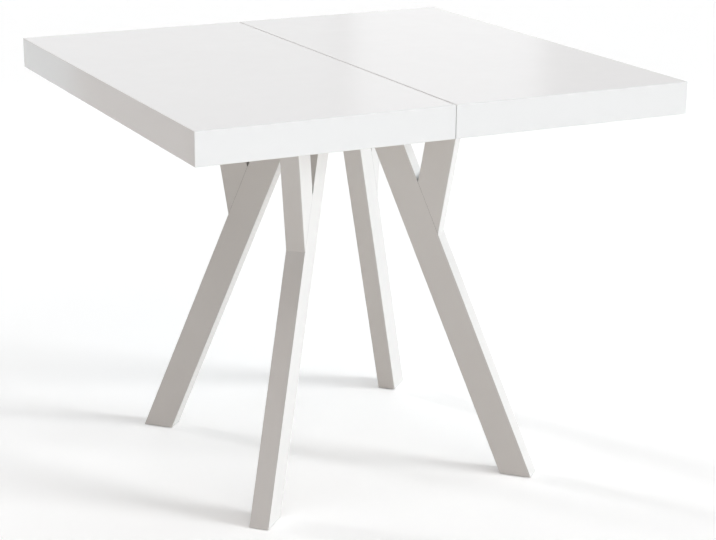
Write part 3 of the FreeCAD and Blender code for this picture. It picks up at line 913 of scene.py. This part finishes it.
fibre = new_finish("packer_fibre")
threads = fibre.noise(fibre.place(FIBRE_THREADS), scale=1.0, detail=4.0)
fibre.surface({
    "Base Color": fibre.mix(threads, (0.06, 0.06, 0.06), (0.13, 0.125, 0.12)),
    "Roughness": 0.8 + 0.15 * threads,
    "Normal": fibre.relief(threads, 0.0001)})
print("slides:", drawn.owner.name, nylon.owner.name, fibre.owner.name)

# %% [markdown]
# ## Dress the CAD nodes
# What was not remodelled keeps its CAD shape. Each node comes in with a plain material that is named
# after its slot in the record, and that name picks the finish.

# %% Finish of each node
finishes = {"top_lacquer": top_white, "leg_lacquer": leg_white, "bare_wood": wood_along_y,
            "slide_aluminium": drawn.owner, "plated_steel": zinc.owner, "slide_nylon": nylon.owner,
            "packer_fibre": fibre.owner, "foot_plastic": pad_grey.owner}
dressed = {}
for name, node in nodes.items():
    for holder in node.material_slots:
        slot_name = holder.material.name.split(".")[0]
        holder.material = finishes.get(slot_name, holder.material)
        dressed.setdefault(holder.material.name, []).append(name)
print("dressed:", {name: len(found) for name, found in dressed.items()})

# %% [markdown]
# ## Studio
# The floor fills the whole picture. It is a plain white sheet, and for the camera it also glows a little,
# most under the table, so that it reaches white while the shadows of the legs stay: the stronger glow
# there is painted light that lifts the shade the table throws on the floor under it. Only what the camera
# sees, and what shows in reflections, gets this glow: the light that the floor throws back at the table
# comes from the plain sheet.

# %% Floor
FLOOR_SIZE = 60.0
FLOOR_BOUNCE = (0.82, 0.78, 0.74)
FLOOR_WHITE = (0.99, 0.99, 0.99)
FLOOR_CLOUD_SHADE = 0.996
GLOW_COLOUR = (0.87, 0.95, 1.0)
GLOW_MIDDLE = (0.15, 0.25, 0.0)
GLOW_NEAR = 0.1
GLOW_FAR = 1.0
GLOW_UNDER_TABLE = 0.205
GLOW_FAR_OFF = 0.06


def seen_directly(finish):
    """1 for rays from the camera, from mirrors and through glass, and 0 for light on the object."""
    rays = finish.tree.nodes.new("ShaderNodeLightPath").outputs
    kinds = ("Is Camera Ray", "Is Glossy Ray", "Is Transmission Ray")
    from_camera, from_mirror, through_glass = (Wire(finish, rays[kind]) for kind in kinds)
    return from_camera.or_more(from_mirror).or_more(through_glass)


bpy.ops.object.select_all(action="DESELECT")
bpy.ops.mesh.primitive_plane_add(size=FLOOR_SIZE)
floor = bpy.context.object
floor.name = "floor"
floor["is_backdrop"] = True

sheet = new_finish("floor_sheet")
spot = sheet.place()
cloudy = sheet.noise(spot, scale=3.0)
throwing = sheet.node("ShaderNodeBsdfDiffuse", sockets={"Color": (*FLOOR_BOUNCE, 1)})
showing = sheet.node("ShaderNodeBsdfDiffuse", sockets={
    "Color": sheet.mix(cloudy, part_of(FLOOR_CLOUD_SHADE, FLOOR_WHITE), FLOOR_WHITE)})
away = sheet.node("ShaderNodeVectorMath", {"operation": "DISTANCE"}, {0: spot, 1: GLOW_MIDDLE},
                  output="Value")
fade = sheet.step(away, GLOW_NEAR, GLOW_FAR)
# painted light: the glow is strongest under the table, where it lifts the table's shade on the floor, and
# its blue tint offsets the warm lamps on the floor
glow = sheet.node("ShaderNodeEmission", sockets={
    "Color": sheet.mix(fade, part_of(GLOW_UNDER_TABLE, GLOW_COLOUR), part_of(GLOW_FAR_OFF, GLOW_COLOUR))})
lit = sheet.node("ShaderNodeAddShader", sockets={0: showing, 1: glow})
sheet.show(sheet.node("ShaderNodeMixShader", sockets={0: seen_directly(sheet), 1: throwing, 2: lit}))
floor.data.materials.append(sheet.owner)
print("floor:", FLOOR_SIZE, "m across")

# %% [markdown]
# ## Sky
# The room round the table is white where it is seen directly or mirrored. It gives hardly any light of
# its own, only a dim warm share that keeps the deepest corners from going black.

# %% Sky
SKY_COLOUR = (1.0, 0.80, 0.67)
SKY_LIGHT = 0.03

sky = Finish(bpy.data.worlds.new("sky"))
bpy.context.scene.world = sky.owner
dim = sky.node("ShaderNodeBackground", sockets={"Color": (*SKY_COLOUR, 1), "Strength": SKY_LIGHT})
white = sky.node("ShaderNodeBackground", sockets={"Color": (1, 1, 1, 1), "Strength": 1.0})
sky.show(sky.node("ShaderNodeMixShader", sockets={0: seen_directly(sky), 1: dim, 2: white}))
print("sky: light", SKY_LIGHT)

# %% [markdown]
# ## Lamps
# The sides of the legs that face right and front right are nearly white, and the other sides are grey, so
# three broad lamps stand low on that side, where they hardly light the floor. They pass the branches of
# the legs, so that the inner sides of the forks stay light too. A soft light hangs overhead, a weak one
# stands in front, and another one at the back left is for the table alone.
#
# The legs throw narrow shadows to the back left and very faint ones to the front right. Two lamps of the
# floor's own make these, so that they can be as dark as in the picture without more light on the table.
# All of these lamps are far away and light the floor evenly to the edge of the picture. The lacquer
# doesn't mirror them: what it mirrors comes from the panels of the next step.

# %% Lamps
def gathered(name, pieces, state):
    """Collection that takes pieces in or leaves them out, for the light or the shadows of a lamp."""
    group = bpy.data.collections.new(name)
    for piece in pieces:
        group.objects.link(piece)
    for member in group.collection_objects:
        member.light_linking.link_state = state
    return group


def far_lamp(name, turn, rise, spread, strength, colour=(1, 1, 1), only=(), never=(), through=()):
    """Lamp far away, at degrees round from +X and above the floor, as broad as a spread in degrees.

    It may light only some pieces, or never some, and it shines through others without a shadow."""
    lamp = bpy.data.lights.new(name, "SUN")
    lamp.energy = strength
    lamp.angle = math.radians(spread)
    lamp.color = colour
    holder = bpy.data.objects.new(name, lamp)
    holder.rotation_euler = (math.radians(90 - rise), 0, math.radians(90 + turn))
    holder.visible_glossy = False
    bpy.context.scene.collection.objects.link(holder)
    if only:
        holder.light_linking.receiver_collection = gathered(name + "_lights", only, "INCLUDE")
    if never:
        holder.light_linking.receiver_collection = gathered(name + "_misses", never, "EXCLUDE")
    if through:
        holder.light_linking.blocker_collection = gathered(name + "_passes", through, "EXCLUDE")


far_lamp("front_right_lamp", turn=-41, rise=5, spread=19, strength=1.9, colour=(0.885, 0.95, 0.985),
         through=branches)
far_lamp("low_front_lamp", turn=-62, rise=8, spread=40, strength=0.5, colour=(0.86, 0.94, 1.0),
         through=branches)
far_lamp("right_lamp", turn=-10, rise=8, spread=30, strength=0.55, colour=(0.89, 0.945, 1.0),
         through=branches)
far_lamp("front_lamp", turn=-90, rise=30, spread=60, strength=0.56, colour=(1.0, 0.885, 0.825))
far_lamp("overhead_lamp", turn=0, rise=89, spread=90, strength=1.53, colour=(0.987, 0.997, 1.0))
far_lamp("back_left_lamp", turn=127, rise=35, spread=20, strength=0.5, colour=(1.0, 0.74, 0.65),
         never=[floor])
far_lamp("floor_lamp", turn=-41, rise=17, spread=19, strength=2.0, only=[floor])
far_lamp("floor_back_lamp", turn=126, rise=24, spread=7, strength=0.6, only=[floor])
print("lamps:", [lamp.name for lamp in bpy.data.lights if lamp.type == "SUN"])

# %% [markdown]
# ## Panels
# The satin lacquer mirrors what stands round the table. A lighter upright band crosses both halves of the
# top, and the left half is a little lighter than the right corner, so two upright panels stand far behind
# the table. A third one above them keeps the near part of the top as light as the far part. The far part
# of the left end is lighter too: a low panel stands beside it. A panel's edges are given as places across
# the picture, because an upright edge keeps its place in a level mirror, and the low one is turned over
# to the other side of the end that mirrors it.

# %% Panels mirrored in the lacquer
PANEL_DISTANCES = (7.0, 7.0)


def panel(name, edges, levels, strength, colour, distances=PANEL_DISTANCES, mirror_x=None):
    """Upright panel whose two edges are at pixels across the picture and distances from the camera."""
    feet = []
    for pixel, distance in zip(edges, distances):
        turn = CAMERA_TURN + math.atan((pixel - CENTRE_PIXEL_X) / FOCAL_LENGTH_PIXELS)
        x = CAMERA_PLACE[0] + distance * math.sin(turn)
        y = CAMERA_PLACE[1] + distance * math.cos(turn)
        feet.append(Vector((x if mirror_x is None else 2 * mirror_x - x, y)))
    if mirror_x is not None:
        feet.reverse()
    across = feet[1] - feet[0]
    middle = (feet[0] + feet[1]) / 2
    lamp = bpy.data.lights.new(name, "AREA")
    lamp.shape = "RECTANGLE"
    lamp.size = across.length
    lamp.size_y = levels[1] - levels[0]
    lamp.energy = strength * lamp.size * lamp.size_y
    lamp.color = colour
    holder = bpy.data.objects.new(name, lamp)
    holder.location = (*middle, (levels[0] + levels[1]) / 2)
    holder.rotation_euler = (math.pi / 2, 0, math.pi + math.atan2(across.y, across.x))
    holder.visible_camera = False
    bpy.context.scene.collection.objects.link(holder)
    return holder


panel("band_panel", edges=(352, 545), levels=(0.5, 2.9), strength=1.1, colour=(0.96, 0.985, 1.0))
panel("left_panel", edges=(-120, 335), levels=(0.5, 2.9), strength=0.52, colour=(0.93, 0.98, 1.0))
panel("high_panel", edges=(-120, 760), levels=(1.7, 3.5), strength=0.35, colour=(0.93, 0.98, 1.0))
end_panel = panel("end_panel", edges=(-40, 71), levels=(0.4, 0.74), strength=1.5, colour=(0.66, 0.88, 1.0),
                  distances=(4.1, 3.5), mirror_x=-HALF_LENGTH)
end_panel.visible_diffuse = False
print("panels:", [lamp.name for lamp in bpy.data.lights if lamp.type == "AREA"])

# %% [markdown]
# ## Measure and finish
# The box of the dressed table is printed, to set beside the box of the CAD frame printed at the start.

# %% Measure and finish
low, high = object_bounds()
print("visual box:", [round(side, 4) for side in high - low])
